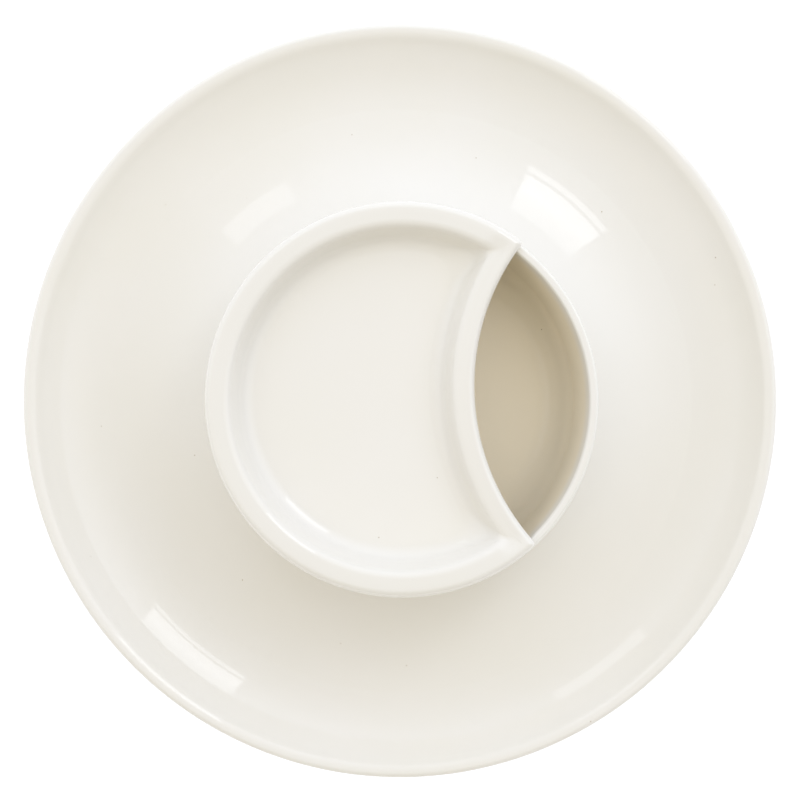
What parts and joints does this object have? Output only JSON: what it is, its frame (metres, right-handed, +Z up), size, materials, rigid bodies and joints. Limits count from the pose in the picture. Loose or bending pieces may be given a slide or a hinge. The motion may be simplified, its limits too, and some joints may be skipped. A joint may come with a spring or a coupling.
{
  "type": "chip and dip server",
  "caption": "Round glazed plate with a raised hub that carries a dip bowl, and a shallow crescent tray that hangs in the bowl's mouth.",
  "frame": {"origin": "centre of the plate's foot ring on the table", "axes": "+Z up along the axis of the plate and the bowl; +X towards the middle of the bite in the tray"},
  "size_m": [0.32, 0.32, 0.072],
  "materials": {
    "ivory_glaze": "gloss"
  },
  "bodies": {
    "plate": {"chip_plate": "ivory_glaze"},
    "bowl": {"dip_bowl": "ivory_glaze"},
    "tray": {"crescent_tray": "ivory_glaze"}
  },
  "joints": [
    {"name": "bowl_lift", "type": "slide", "parent": "plate", "child": "bowl", "axis": [0, 0, 1], "range_m": [0, 0.08]},
    {"name": "tray_lift", "type": "slide", "parent": "bowl", "child": "tray", "axis": [0, 0, 1], "range_m": [0, 0.06]}
  ]
}
